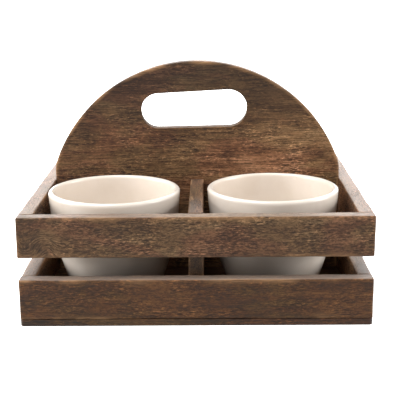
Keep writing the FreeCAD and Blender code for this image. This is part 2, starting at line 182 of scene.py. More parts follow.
# Where the camera stands, how far it is turned in degrees, and its lens in millimetres.
CAMERA_PLACE = (0.0120, -0.8772, 0.2849)
CAMERA_YAW = -0.636
CAMERA_PITCH = 13.864
CAMERA_ROLL = -0.507
CAMERA_LENS = 88.77
CAMERA_SENSOR = 36.0


# ---------------------------------------------------------------- node trees


def add(tree, kind, links=None, **settings):
    """A node with its settings made and its sockets linked or given values."""
    node = tree.nodes.new(kind)
    for name, value in settings.items():
        setattr(node, name, value)
    for key, value in (links or {}).items():
        socket = node.inputs[key]
        if isinstance(value, bpy.types.NodeSocket):
            tree.links.new(value, socket)
        else:
            socket.default_value = value
    return node


def calc(tree, operation, *values, clamp=False):
    """The result of one sum on numbers."""
    node = add(tree, "ShaderNodeMath", dict(enumerate(values)), operation=operation, use_clamp=clamp)
    return node.outputs[0]


def vector(tree, operation, *values, out=0):
    """The result of one sum on vectors. Output 1 is a number, such as a length."""
    node = add(tree, "ShaderNodeVectorMath", dict(enumerate(values)), operation=operation)
    return node.outputs[out]


def scaled(tree, value, factor):
    """A vector times a number."""
    node = add(tree, "ShaderNodeVectorMath", {0: value, "Scale": factor}, operation="SCALE")
    return node.outputs[0]


def combine(tree, x=0.0, y=0.0, z=0.0):
    """A vector made of three numbers."""
    return add(tree, "ShaderNodeCombineXYZ", {0: x, 1: y, 2: z}).outputs[0]


def parts_of(tree, value):
    """The x, y and z of a vector."""
    return add(tree, "ShaderNodeSeparateXYZ", {0: value}).outputs


def noise(tree, place, scale, detail=2.0, roughness=0.5, distortion=0.0):
    """A noise pattern's value, from 0 to 1."""
    links = {"Vector": place, "Scale": scale, "Detail": detail}
    links.update({"Roughness": roughness, "Distortion": distortion})
    return add(tree, "ShaderNodeTexNoise", links).outputs[0]


def smooth_step(tree, value, low, high, to_low=0.0, to_high=1.0):
    """Eases from to_low to to_high as the value goes from low to high."""
    links = {"Value": value, "From Min": low, "From Max": high, "To Min": to_low, "To Max": to_high}
    return add(tree, "ShaderNodeMapRange", links, interpolation_type="SMOOTHSTEP").outputs[0]


def ramp(tree, value, stops):
    """A colour ramp with stops of (position, colour)."""
    node = add(tree, "ShaderNodeValToRGB", {0: value})
    elements = node.color_ramp.elements
    while len(elements) < len(stops):
        elements.new(1.0)
    for element, (position, colour) in zip(elements, stops):
        element.position = position
        element.color = (*colour, 1.0)
    return node.outputs[0]


def mix(tree, factor, first, second, blend="MIX"):
    """Two colours mixed. Each may be a socket or three numbers."""
    node = add(tree, "ShaderNodeMix", data_type="RGBA", blend_type=blend)
    for socket, value in ((node.inputs[0], factor), (node.inputs[6], first), (node.inputs[7], second)):
        if isinstance(value, bpy.types.NodeSocket):
            tree.links.new(value, socket)
        else:
            socket.default_value = value if isinstance(value, float) else (*value, 1.0)
    return node.outputs[2]


# ---------------------------------------------------------------- materials


def new_material(name):
    """A material with its tree emptied, and the shader that it ends in."""
    material = bpy.data.materials.new(name)
    material.use_nodes = True
    tree = material.node_tree
    tree.nodes.clear()
    shader = add(tree, "ShaderNodeBsdfPrincipled")
    add(tree, "ShaderNodeOutputMaterial", {"Surface": shader.outputs[0]})
    return material, tree, shader


def stained_wood(name, seed, along="x", tone=(1, 1, 1), warmth=0.5, fades=(), knot=None, pores=0.5,
                 speckle=0.45, painted_sheen=0.12, gloss=0.28):
    """Brown-stained hardwood with open pores. The grain runs along the named axis of the caddy.

    Each fade is (axis, low, high, share): from low to high, the colour's tone changes to that share of
    itself. knot is the place (x, y, z, reach) that the grain swirls about. pores is how crowded the
    open pores are and speckle how short the marks in the grain are, both from 0 to 1. The painted
    sheen's share, from 0 to 1, is how far the faces that look up are painted pale and grey, as light
    glancing off them would show.
    """
    material, tree, shader = new_material(name)
    chance = np.random.default_rng(seed)
    shift = chance.uniform(-2.0, 2.0, 3)
    place = add(tree, "ShaderNodeTexCoord").outputs["Object"]
    turn = (0, 0, 0) if along == "x" else (0, 0, -math.pi / 2)
    straight = add(tree, "ShaderNodeMapping", {"Vector": place, "Rotation": turn}).outputs[0]
    if knot:
        straight = swirled(tree, straight, place, knot)
    straight = vector(tree, "ADD", straight, tuple(shift))

    def stretched(source, length, width, detail=2.0, roughness=0.5, distortion=0.0):
        """Noise drawn out along the grain, with marks about this long and this wide."""
        marks = vector(tree, "MULTIPLY", source, (1 / length, 1 / width, 1 / width))
        return noise(tree, marks, 1.0, detail, roughness, distortion)

    # the grain drifts up and down along the board
    drift = add(tree, "ShaderNodeTexNoise", {
        "Vector": vector(tree, "MULTIPLY", straight, DRIFT_SCALE),
        "Scale": 1.0,
        "Detail": 2.0,
    }).outputs[1]
    drift = vector(tree, "MULTIPLY", vector(tree, "SUBTRACT", drift, (0.5, 0.5, 0.5)), GRAIN_DRIFT)
    grain = vector(tree, "ADD", straight, drift)

    # growth rings about a pith below the board
    _, across, up = parts_of(tree, grain)
    sideways = calc(tree, "SUBTRACT", across, float(shift[1] + PITH_ASIDE * chance.uniform(-1, 1)))
    upwards = calc(tree, "SUBTRACT", up, float(shift[2] - PITH_BELOW))
    squares = calc(tree, "MULTIPLY_ADD", sideways, sideways, calc(tree, "MULTIPLY", upwards, upwards))
    from_pith = calc(tree, "MULTIPLY", calc(tree, "SQRT", squares), RING_SCALE)
    rings = add(tree, "ShaderNodeTexNoise", {
        "W": from_pith,
        "Detail": 3.0,
        "Roughness": 0.6,
    }, noise_dimensions="1D").outputs[0]

    # bands of stain, then fibres and flecks of a hair's width
    bands = stretched(grain, 60 * MM, 6.0 * MM, 3.0, 0.6, 0.4)
    blotches = stretched(straight, 75 * MM, 34 * MM, 4.0, 0.6, 0.8)
    hairs = stretched(grain, 20 * MM, 1.0 * MM, 2.0, 0.65, 0.3)
    flecks = stretched(grain, 3.2 * MM, 1.1 * MM, 2.0, 0.7, 0.8)
    patch = stretched(straight, 34 * MM, 16 * MM, 2.0, 0.5)
    hue = stretched(straight, 90 * MM, 34 * MM, 3.0, 0.6, 0.5)

    # open pores: short dark dashes along the grain, crowded in some places
    dashes = []
    for length, width, reach in PORE_CELLS:
        cells = add(tree, "ShaderNodeTexVoronoi", {
            "Vector": vector(tree, "MULTIPLY", grain, (1 / length, 1 / width, 1 / width)),
            "Scale": 1.0,
            "Randomness": 1.0,
        }, feature="F1")
        dashes.append(smooth_step(tree, cells.outputs["Distance"], reach - 0.16, reach, 1.0, 0.0))
    crowd = smooth_step(tree, patch, 0.62 - 0.3 * pores, 0.76 - 0.3 * pores, 0.08, 1.0)
    pitted = calc(tree, "MULTIPLY", calc(tree, "MAXIMUM", *dashes), crowd)

    # depth of stain, from dark to pale
    depth = calc(tree, "MULTIPLY", rings, 0.16)
    depth = calc(tree, "MULTIPLY_ADD", bands, 0.36, depth)
    depth = calc(tree, "MULTIPLY_ADD", blotches, 0.48, depth)
    stain = ramp(tree, depth, STAIN_DEPTHS)
    # the fades: the rails' one is a painted sheen along their tops, the handle board's make it darker up
    # the arch and paler to the right
    for axis, low, high, share in fades:
        fade_share = smooth_step(tree, parts_of(tree, place)["xyz".index(axis)], low, high, 1.0, share)
        stain = mix(tree, 1.0, stain, combine(tree, fade_share, fade_share, fade_share), "MULTIPLY")
    warm = smooth_step(tree, hue, 0.62 - 0.3 * warmth, 0.74 - 0.3 * warmth)
    tint = mix(tree, warm, OLIVE, REDDISH)
    stain = mix(tree, 1.0, stain, tint, "MULTIPLY")
    stain = mix(tree, 1.0, stain, tone, "MULTIPLY")
    fine = calc(tree, "MULTIPLY_ADD", hairs, 1.0 - speckle, calc(tree, "MULTIPLY", flecks, speckle))
    shade = smooth_step(tree, fine, 0.34, 0.66, 0.34, 1.80)
    stain = mix(tree, 1.0, stain, combine(tree, shade, shade, shade), "MULTIPLY")
    stain = mix(tree, calc(tree, "MULTIPLY", pitted, 0.85), stain, OPEN_PORE)
    pale = smooth_step(tree, flecks, 0.57, 0.66)
    pale = calc(tree, "MULTIPLY", pale, smooth_step(tree, patch, 0.35, 0.60))
    stain = mix(tree, pale, stain, scaled(tree, stain, PALE_FLECK))

    # end grain drinks more stain
    facing = add(tree, "ShaderNodeNewGeometry").outputs["Normal"]
    endwise = calc(tree, "ABSOLUTE", vector(tree, "DOT_PRODUCT", facing, GRAIN_AXES[along], out=1))
    stain = mix(tree, smooth_step(tree, endwise, 0.55, 0.9, 0.0, 0.6), stain, SOAKED_END_GRAIN)

    # sanded edges show paler, warmer wood under the stain
    edge = add(tree, "ShaderNodeAttribute", attribute_name="wear").outputs["Fac"]
    rubbed = calc(tree, "MULTIPLY", edge, smooth_step(tree, hairs, 0.30, 0.62, 0.45, 1.0))
    bare = mix(tree, hairs, DARK_BARE_WOOD, PALE_BARE_WOOD)
    colour = mix(tree, calc(tree, "MULTIPLY", rubbed, 0.90, clamp=True), stain, bare)

    # painted sheen: the faces that look up are painted paler and greyer, as light glancing off them
    # would show
    sheen_on_top = smooth_step(tree, parts_of(tree, facing)[2], 0.60, 0.95, 0.0, painted_sheen)
    colour = mix(tree, sheen_on_top, colour, PAINTED_SHEEN_GREY)
    tree.links.new(colour, shader.inputs["Base Color"])

    rough = calc(tree, "MULTIPLY_ADD", flecks, 0.20, 0.42)
    rough = calc(tree, "MULTIPLY_ADD", pitted, 0.20, rough)
    tree.links.new(rough, shader.inputs["Roughness"])
    height = calc(tree, "MULTIPLY_ADD", pitted, -0.9, fine)
    bump = add(tree, "ShaderNodeBump", {"Height": height, "Strength": 0.60, "Distance": 0.30 * MM})
    tree.links.new(bump.outputs[0], shader.inputs["Normal"])
    shader.inputs["Specular IOR Level"].default_value = gloss
    return material


def swirled(tree, grain, place, knot):
    """The grain's coordinates bent round a knot at a place, given as (x, y, z, reach)."""
    away = vector(tree, "SUBTRACT", place, tuple(knot[:3]))
    near = smooth_step(tree, vector(tree, "LENGTH", away, out=1), 0.0, knot[3], 1.0, 0.0)
    turned = add(tree, "ShaderNodeVectorRotate", {
        "Vector": grain, "Center": tuple(knot[:3]), "Angle": calc(tree, "MULTIPLY", near, KNOT_TURN),
    }, rotation_type="Y_AXIS")
    return turned.outputs[0]


def glazed_stoneware(name, seed):
    """Cream gloss glaze with a painted highlight that makes the lip a little paler, with faint mottling
    and pinholes.
    """
    material, tree, shader = new_material(name)
    shift = np.random.default_rng(seed).uniform(-1.0, 1.0, 3)
    place = add(tree, "ShaderNodeTexCoord").outputs["Object"]
    spot = vector(tree, "ADD", place, tuple(shift))
    clouds = noise(tree, spot, 38.0, 4.0, 0.55, 0.3)
    specks = add(tree, "ShaderNodeTexVoronoi", {
        "Vector": spot,
        "Scale": 330.0,
        "Randomness": 1.0,
    }).outputs[0]
    pinholes = smooth_step(tree, specks, 0.05, 0.13, 1.0, 0.0)
    pinholes = calc(tree, "MULTIPLY", pinholes, smooth_step(tree, noise(tree, spot, 55.0), 0.56, 0.66))
    # painted highlight: the lip is painted paler, as light catching its rounded top would show
    lip_highlight = add(tree, "ShaderNodeAttribute", attribute_name="lip").outputs["Fac"]
    body = ramp(tree, clouds, GLAZE_BODY)
    colour = mix(tree, calc(tree, "MULTIPLY", lip_highlight, 0.5), body, PAINTED_LIP_HIGHLIGHT)
    colour = mix(tree, calc(tree, "MULTIPLY", pinholes, 0.45), colour, GLAZE_PINHOLE)
    tree.links.new(colour, shader.inputs["Base Color"])
    rough = calc(tree, "MULTIPLY_ADD", clouds, 0.10, 0.20)
    tree.links.new(rough, shader.inputs["Roughness"])
    waves = noise(tree, spot, 90.0, 2.0)
    height = calc(tree, "MULTIPLY_ADD", pinholes, -0.6, waves)
    bump = add(tree, "ShaderNodeBump", {"Height": height, "Strength": 0.25, "Distance": 0.3 * MM})
    tree.links.new(bump.outputs[0], shader.inputs["Normal"])
    shader.inputs["Coat Weight"].default_value = 0.35
    shader.inputs["Coat Roughness"].default_value = 0.12
    return material


def bare_stoneware():
    """The unglazed ring under each foot: gritty buff clay."""
    material, tree, shader = new_material("bare_stoneware")
    place = add(tree, "ShaderNodeTexCoord").outputs["Object"]
    grit = noise(tree, place, 900.0, 3.0, 0.7)
    colour = ramp(tree, grit, [(0.35, (0.42, 0.33, 0.24)), (0.65, (0.60, 0.50, 0.39))])
    tree.links.new(colour, shader.inputs["Base Color"])
    bump = add(tree, "ShaderNodeBump", {"Height": grit, "Strength": 0.5, "Distance": 0.2 * MM})
    tree.links.new(bump.outputs[0], shader.inputs["Normal"])
    shader.inputs["Roughness"].default_value = 0.85
    return material


def beech_dowel():
    """Pale beech with short brown flecks."""
    material, tree, shader = new_material("beech_dowel")
    place = add(tree, "ShaderNodeTexCoord").outputs["Object"]
    fibres = noise(tree, place, 1200.0, 3.0, 0.6)
    flecks = smooth_step(tree, noise(tree, place, 2100.0, 1.0), 0.60, 0.68)
    colour = ramp(tree, fibres, [(0.3, (0.47, 0.31, 0.17)), (0.7, (0.66, 0.48, 0.30))])
    colour = mix(tree, calc(tree, "MULTIPLY", flecks, 0.5), colour, (0.26, 0.15, 0.08))
    tree.links.new(colour, shader.inputs["Base Color"])
    shader.inputs["Roughness"].default_value = 0.6
    return material


def zinc_plate():
    """Zinc-plated steel: bright plating, clouded and unevenly dull."""
    material, tree, shader = new_material("zinc_plate")
    place = add(tree, "ShaderNodeTexCoord").outputs["Object"]
    clouds = noise(tree, place, 700.0, 3.0, 0.6)
    colour = ramp(tree, clouds, [(0.3, (0.50, 0.51, 0.52)), (0.7, (0.70, 0.70, 0.68))])
    tree.links.new(colour, shader.inputs["Base Color"])
    tree.links.new(calc(tree, "MULTIPLY_ADD", clouds, 0.25, 0.22), shader.inputs["Roughness"])
    shader.inputs["Metallic"].default_value = 1.0
    return material


# ---------------------------------------------------------------- geometry trees


def geometry_tree(name, sockets):
    """An empty geometry tree with named inputs of (name, kind), and its input and output nodes."""
    tree = bpy.data.node_groups.new(name, "GeometryNodeTree")
    tree.interface.new_socket("Geometry", in_out="OUTPUT", socket_type="NodeSocketGeometry")
    for label, kind in sockets:
        tree.interface.new_socket(label, in_out="INPUT", socket_type=f"NodeSocket{kind}")
    return tree, tree.nodes.new("NodeGroupInput").outputs, tree.nodes.new("NodeGroupOutput")


def made_mesh(name, tree, values):
    """The plain mesh that a geometry tree gives for these input values."""
    blank = linked(name, bpy.data.meshes.new(name))
    modifier = blank.modifiers.new("shape", "NODES")
    modifier.node_group = tree
    for item in tree.interface.items_tree:
        if item.in_out == "INPUT" and item.name in values:
            modifier[item.identifier] = values[item.name]
    mesh = evaluated(blank)
    bpy.data.objects.remove(blank)
    return mesh


def linked(name, data):
    """A new object in the scene that holds this mesh, light or camera."""
    made = bpy.data.objects.new(name, data)
    bpy.context.collection.objects.link(made)
    return made


def evaluated(source):
    """A plain mesh of an object with its modifiers applied."""
    bpy.context.view_layer.update()
    graph = bpy.context.evaluated_depsgraph_get()
    return bpy.data.meshes.new_from_object(source.evaluated_get(graph))


def worn_board_tree():
    """A board about the origin, its edges rubbed round unevenly and its faces a little hollow."""
    numbers = ("Spacing", "Crowding", "Edge Radius", "Wear", "Hollow", "Seed")
    tree, given, out = geometry_tree("worn_board", [
        ("Size", "Vector"),
        *[(name, "Float") for name in numbers],
        ("Material", "Material"),
    ])
    half = scaled(tree, given["Size"], 0.5)
    steps = combine(tree, given["Spacing"], given["Spacing"], given["Spacing"])
    counts = parts_of(tree, vector(tree, "DIVIDE", given["Size"], steps))
    count = [calc(tree, "MAXIMUM", calc(tree, "ROUND", side), FEWEST_ROWS) for side in counts]
    block = add(tree, "GeometryNodeMeshCube", {
        "Size": given["Size"],
        "Vertices X": count[0],
        "Vertices Y": count[1],
        "Vertices Z": count[2],
    })

    # crowd the rows towards the edges
    start = add(tree, "GeometryNodeInputPosition").outputs[0]
    share = vector(tree, "DIVIDE", start, half)
    crowded = []
    for side in parts_of(tree, share):
        inwards = calc(tree, "SUBTRACT", 1.0, calc(tree, "ABSOLUTE", side), clamp=True)
        kept = calc(tree, "SUBTRACT", 1.0, calc(tree, "POWER", inwards, given["Crowding"]))
        crowded.append(calc(tree, "MULTIPLY", calc(tree, "SIGN", side), kept))
    crowding = add(tree, "GeometryNodeSetPosition", {
        "Geometry": block.outputs[0],
        "Position": vector(tree, "MULTIPLY", combine(tree, *crowded), half),
    })

    # round the edges by a radius that changes along them
    place = add(tree, "GeometryNodeInputPosition").outputs[0]
    seeded = vector(tree, "ADD", place, combine(tree, given["Seed"], given["Seed"], 0.0))
    rub = smooth_step(tree, noise(tree, seeded, 34.0, 3.0, 0.6), 0.38, 0.66)
    radius = calc(tree, "MULTIPLY_ADD", rub, given["Wear"], given["Edge Radius"])
    core = vector(tree, "SUBTRACT", half, combine(tree, radius, radius, radius))
    inner = vector(tree, "MINIMUM", vector(tree, "MAXIMUM", place, scaled(tree, core, -1.0)), core)
    outwards = vector(tree, "NORMALIZE", vector(tree, "SUBTRACT", place, inner))
    dip = smooth_step(tree, noise(tree, seeded, 21.0, 2.0), 0.35, 0.70)
    nick = smooth_step(tree, noise(tree, seeded, 170.0, 2.0), 0.62, 0.78)
    depth = calc(tree, "MULTIPLY", calc(tree, "MULTIPLY_ADD", nick, 0.5, dip), given["Hollow"])
    rounded = vector(tree, "ADD", inner, scaled(tree, outwards, calc(tree, "SUBTRACT", radius, depth)))
    rounding = add(tree, "GeometryNodeSetPosition", {
        "Geometry": crowding.outputs[0],
        "Position": rounded,
    })

    # how near an edge each point is, for the material
    gaps = parts_of(tree, vector(tree, "SUBTRACT", half, vector(tree, "ABSOLUTE", place)))
    second = middle_of(tree, *gaps)
    wide = smooth_step(tree, noise(tree, seeded, 16.0, 2.0), 0.40, 0.66, 2.4 * MM, 8.0 * MM)
    line = smooth_step(tree, second, 0.8 * MM, 2.2 * MM, 1.0, 0.0)
    near = calc(tree, "MAXIMUM", line, smooth_step(tree, second, 0.0, wide, 0.5, 0.0))
    patchy = smooth_step(tree, noise(tree, seeded, 27.0, 4.0, 0.65), 0.46, 0.60, 0.12, 1.0)
    worn = calc(tree, "MULTIPLY", near, patchy)
    real = realised(tree, rounding, "wear", worn)
    finished = add(tree, "GeometryNodeSetMaterial", {
        "Geometry": real.outputs[0],
        "Material": given["Material"],
    })
    tree.links.new(finished.outputs[0], out.inputs[0])
    return tree


def realised(tree, shape, name, value):
    """The shape with a value kept on its points by name, and its instances made real."""
    stored = add(tree, "GeometryNodeStoreNamedAttribute", {
        "Geometry": shape.outputs[0],
        "Name": name,
        "Value": value,
    }, data_type="FLOAT", domain="POINT")
    return add(tree, "GeometryNodeRealizeInstances", {"Geometry": stored.outputs[0]})


def middle_of(tree, a, b, c):
    """The middle one of three numbers."""
    low, high = calc(tree, "MINIMUM", a, b), calc(tree, "MAXIMUM", a, b)
    return calc(tree, "MAXIMUM", low, calc(tree, "MINIMUM", high, c))


def turned_bowl_tree():
    """A bowl turned on the Z axis from a profile of arcs and lines, standing on the origin."""
    tree, given, out = geometry_tree("turned_bowl", [
        *[(name, "Float") for name in ("Rim Radius", "Height", *BOWL_PROFILE, "Seed")],
        ("Glaze", "Material"),
        ("Clay", "Material"),
    ])
    rim, height, foot = (given[name] for name in ("Rim Radius", "Height", "Foot Radius"))
    wall, bulge, floor, recess = (given[name] for name in ("Wall", "Bulge", "Floor", "Recess"))
    foot_round, floor_round = given["Foot Round"], given["Floor Round"]
    lip = calc(tree, "SUBTRACT", height, given["Crown"])
    inner_rim = calc(tree, "SUBTRACT", rim, wall)
    inner_foot = calc(tree, "ADD", calc(tree, "SUBTRACT", foot, wall), recess)
    ring = calc(tree, "SUBTRACT", foot, given["Ring Width"])

    def spot(r, z):
        """A point of the profile, as the turning circle reads it: outwards from the rim, then down."""
        return combine(tree, calc(tree, "SUBTRACT", r, rim), calc(tree, "MULTIPLY", z, -1.0))

    def line(first, last, steps):
        run = add(tree, "GeometryNodeCurvePrimitiveLine", {"Start": spot(*first), "End": spot(*last)})
        evened = add(tree, "GeometryNodeResampleCurve", {"Curve": run.outputs[0], "Count": steps})
        return evened.outputs[0]

    def arc(first, middle, last, steps):
        return add(tree, "GeometryNodeCurveArc", {
            "Start": spot(*first),
            "Middle": spot(*middle),
            "End": spot(*last),
            "Resolution": steps,
        }, mode="POINTS").outputs[0]

    def between(a, b, share):
        """The number that lies this share of the way from a to b."""
        return calc(tree, "MULTIPLY_ADD", calc(tree, "SUBTRACT", b, a), share, a)

    floor_edge = calc(tree, "SUBTRACT", inner_foot, floor_round)
    bend_r = calc(tree, "MULTIPLY_ADD", floor_round, 0.12, inner_foot)
    bend_z = calc(tree, "ADD", floor, floor_round)
    bend_mid_z = calc(tree, "MULTIPLY_ADD", floor_round, 0.24, floor)
    bend_mid = (between(floor_edge, bend_r, 0.74), bend_mid_z)
    inner_mid = (calc(tree, "ADD", between(bend_r, inner_rim, 0.5), bulge), between(bend_z, lip, 0.5))
    outer_mid = (calc(tree, "ADD", between(rim, foot, 0.5), bulge), between(foot_round, lip, 0.5))
    half_lip = (calc(tree, "MULTIPLY_ADD", wall, -0.5, rim), height)
    foot_in = calc(tree, "SUBTRACT", foot, foot_round)
    heel_r = calc(tree, "MULTIPLY_ADD", foot_round, -0.3, foot)
    heel_mid = (heel_r, calc(tree, "MULTIPLY", foot_round, 0.3))
    strips = [
        line((0.0, floor), (floor_edge, floor), 14),
        arc((floor_edge, floor), bend_mid, (bend_r, bend_z), 12),
        arc((bend_r, bend_z), inner_mid, (inner_rim, lip), 48),
        arc((inner_rim, lip), half_lip, (rim, lip), 14),
        arc((rim, lip), outer_mid, (foot, foot_round), 56),
        arc((foot, foot_round), heel_mid, (foot_in, 0.0), 6),
        line((foot_in, 0.0), (ring, 0.0), 5),
        line((ring, 0.0), (ring, recess), 4),
        line((ring, recess), (0.0, recess), 12),
    ]
    circle = add(tree, "GeometryNodeCurvePrimitiveCircle", {"Resolution": BOWL_FACETS, "Radius": rim})
    profile = add(tree, "GeometryNodeJoinGeometry")
    for strip in strips:
        tree.links.new(strip, profile.inputs[0])
    turned = add(tree, "GeometryNodeCurveToMesh", {
        "Curve": circle.outputs[0],
        "Profile Curve": profile.outputs[0],
    })
    welded = add(tree, "GeometryNodeMergeByDistance", {
        "Geometry": turned.outputs[0],
        "Distance": 0.02 * MM,
    })

    # a wheel-thrown wall is never quite round, so it is shrunk a little here and there
    place = add(tree, "GeometryNodeInputPosition").outputs[0]
    x, y, z = parts_of(tree, place)
    seeded = vector(tree, "ADD", place, combine(tree, 0.0, 0.0, given["Seed"]))
    uneven = noise(tree, seeded, 11.0, 1.0)
    shrink = calc(tree, "MULTIPLY_ADD", calc(tree, "MULTIPLY", uneven, given["Wobble"]), -1.0, 1.0)
    high = calc(tree, "MULTIPLY", smooth_step(tree, z, 0.0, height), given["Wobble"])
    sag = calc(tree, "MULTIPLY", calc(tree, "MULTIPLY", noise(tree, seeded, 14.0, 1.0), high), -BOWL_SAG)
    thrown = add(tree, "GeometryNodeSetPosition", {
        "Geometry": welded.outputs[0],
        "Position": combine(
            tree,
            calc(tree, "MULTIPLY", x, shrink),
            calc(tree, "MULTIPLY", y, shrink),
            calc(tree, "ADD", z, sag),
        ),
    })
    # the lip's top, where the glaze gets its painted highlight
    top = smooth_step(tree, z, calc(tree, "SUBTRACT", lip, 2.5 * MM), height)
    real = realised(tree, thrown, "lip", top)
    glazed = add(tree, "GeometryNodeSetMaterial", {
        "Geometry": real.outputs[0],
        "Material": given["Glaze"],
    })
    low = calc(tree, "LESS_THAN", z, foot_round)
    bare = add(tree, "GeometryNodeSetMaterial", {
        "Geometry": glazed.outputs[0],
        "Selection": low,
        "Material": given["Clay"],
    })
    tree.links.new(bare.outputs[0], out.inputs[0])
    return tree


# ---------------------------------------------------------------- pieces


def size_of(node):
    """A CAD node's lowest corner, highest corner and size."""
    low, high = (Vector(corner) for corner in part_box(node))
    return low, high, high - low


def merged_copy(node):
    """A welded copy of a CAD node, to cut with."""
    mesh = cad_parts[node].data.copy()
    work = bmesh.new()
    work.from_mesh(mesh)
    bmesh.ops.remove_doubles(work, verts=work.verts, dist=1e-6)
    work.to_mesh(mesh)
    work.free()
    return linked(f"{node}_cutter", mesh)


def box_cutter(low, high):
    """A box between two corners, to cut with."""
    corners = list(itertools.product(*zip(low, high)))
    sides = [(0, 1, 3, 2), (4, 6, 7, 5), (0, 4, 5, 1), (2, 3, 7, 6), (0, 2, 6, 4), (1, 5, 7, 3)]
    mesh = bpy.data.meshes.new("box_cutter")
    mesh.from_pydata(corners, [], sides)
    return linked("box_cutter", mesh)


def cut(piece, cutters):
    """Cuts each cutter out of the piece and leaves a plain mesh."""
    for cutter in cutters:
        modifier = piece.modifiers.new("cut", "BOOLEAN")
        modifier.operation = "DIFFERENCE"
        modifier.solver = "MANIFOLD"
        modifier.object = cutter
    mesh = evaluated(piece)
    clean_cut(mesh)
    piece.modifiers.clear()
    piece.data = mesh
    for cutter in cutters:
        bpy.data.objects.remove(cutter)


def clean_cut(mesh):
    """Closes the hairline faces that a cut leaves, and splits the faces into well-shaped triangles."""
    work = bmesh.new()
    work.from_mesh(mesh)
    bmesh.ops.dissolve_degenerate(work, dist=0.01 * MM, edges=work.edges)
    bmesh.ops.triangulate(work, faces=work.faces)
    work.to_mesh(mesh)
    work.free()


def finish_piece(piece, node, body="caddy"):
    """Smooths a piece and has it stand for its CAD node, on its body."""
    piece.data.shade_smooth()
    piece.data.set_sharp_from_angle(angle=math.radians(50))
    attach(piece, body)
    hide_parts(node)


def board(tree, node, seed, material, cutters):
    """A sanded board in place of a CAD board, filling its box."""
    low, high, size = size_of(node)
    mesh = made_mesh(f"sanded_{node}", tree, {
        "Size": tuple(size),
        "Spacing": BOARD_SPACING,
        "Crowding": EDGE_CROWDING,
        "Edge Radius": EDGE_RADIUS,
        "Wear": EDGE_WEAR,
        "Hollow": FACE_HOLLOW,
        "Seed": float(seed),
        "Material": material,
    })
    mesh.transform(Matrix.Translation((low + high) / 2))
    piece = linked(f"sanded_{node}", mesh)
    cut(piece, cutters)
    finish_piece(piece, node)


def make_rails(tree):
    """The eight slats: a lower and an upper tier, each stained its own way, the lower one darker partly
    by painted shade, and each paler and greyer on top by painted sheen.
    """
    sides = ("front", "back", "left", "right")
    for seed, (tier, side) in enumerate(itertools.product(("lower", "upper"), sides), start=1):
        node = f"{tier}_{side}_rail"
        along = "x" if side in ("front", "back") else "y"
        low, high, _ = size_of(node)
        # painted sheen: a band along the rail's top is painted paler, as light glancing off it would
        # show
        start, end, share = RAIL_TOP_SHEEN_BAND
        painted_top_band = ("z", high.z - start, high.z - end, share)
        knot = None
        if node == "upper_front_rail":
            knot = (low.x + KNOT_FROM_LEFT, low.y, low.z + KNOT_FROM_BELOW, KNOT_REACH)
        stain = stained_wood(f"stain_{node}", seed, along, fades=[painted_top_band], knot=knot,
                             painted_sheen=RAIL_PAINTED_SHEEN, **RAIL_STAINS_AND_SHADE[tier])
        board(tree, node, seed, stain, [merged_copy(name) for name in fasteners_of(node)])


def fasteners_of(node):
    """The dowels and screws that reach into a board."""
    found = ["handle_board_dowels", "divider_dowels"]
    if "rail" in node:
        found += [f"{node.split('_')[0]}_corner_dowels"]
    if "upper" not in node:
        found += ["base_screws"]
    return found


def arc_points(centre, radius, start, stop, spacing):
    """Points along an arc from the start angle to the stop angle, the last one left out."""
    count = max(2, round(abs(stop - start) * radius / spacing))
    angles = start + (stop - start) * np.arange(count) / count
    return np.column_stack([centre[0] + radius * np.cos(angles), centre[1] + radius * np.sin(angles)])


def line_points(start, stop, spacing):
    """Points along a line, the last one left out."""
    start, stop = np.array(start), np.array(stop)
    count = max(2, round(np.linalg.norm(stop - start) / spacing))
    return start + (stop - start) * (np.arange(count) / count)[:, None]


def arch_outline(half, foot, shoulder, rise, blend):
    """The handle board's outline in x and z, anticlockwise from its lower left corner."""
    radius = (half**2 + rise**2) / (2 * rise)
    middle = shoulder + rise - radius
    bend = middle + math.sqrt((radius - blend) ** 2 - (half - blend) ** 2)
    turn = math.atan2(bend - middle, half - blend)
    return np.vstack([
        line_points((-half, foot), (half, foot), CUT_SPACING),
        line_points((half, foot), (half, bend), CUT_SPACING),
        arc_points((half - blend, bend), blend, 0.0, turn, CUT_SPACING),
        arc_points((0.0, middle), radius, turn, math.pi - turn, CUT_SPACING),
        arc_points((blend - half, bend), blend, math.pi - turn, math.pi, CUT_SPACING),
        line_points((-half, bend), (-half, foot), CUT_SPACING),
    ])


def grip_outline(left, left_radius, right, right_radius):
    """The grip hole's outline, anticlockwise: two round ends joined by straight sides."""
    left, right = np.array(left), np.array(right)
    lean = math.atan2(right[1] - left[1], right[0] - left[0])
    splay = math.asin((right_radius - left_radius) / np.linalg.norm(right - left))
    low, high = lean - math.pi / 2 - splay, lean + math.pi / 2 + splay
    fine = CUT_SPACING / 4
    right_end = arc_points(right, right_radius, low, high, fine)
    left_end = arc_points(left, left_radius, high, low + 2 * math.pi, fine)
    top = line_points(right + right_radius * direction(high), left_end[0], fine)
    bottom = line_points(left + left_radius * direction(low), right_end[0], fine)
    return np.vstack([right_end, top, left_end, bottom])


def direction(angle):
    """The unit vector at an angle in the plane."""
    return np.array([math.cos(angle), math.sin(angle)])


def waver(along, seed, lowest, highest, terms=7):
    """A smooth uneven value from 0 to 1 along a closed outline, where along runs from 0 to 1."""
    chance = np.random.default_rng(seed)
    total = np.zeros_like(along)
    for _ in range(terms):
        turns = chance.integers(lowest, highest)
        total += np.sin(2 * math.pi * (turns * along + chance.random()))
    return 0.5 + 0.5 * total / terms


def ripple(points, seed, shortest, longest, terms=9):
    """A smooth uneven value from 0 to 1 over a plane, made of waves of the given lengths."""
    chance = np.random.default_rng(seed)
    total = np.zeros(len(points))
    for _ in range(terms):
        heading = chance.uniform(0, 2 * math.pi)
        length = chance.uniform(shortest, longest)
        total += np.sin(2 * math.pi * (points @ direction(heading) / length + chance.random()))
    return 0.5 + 0.5 * total / terms


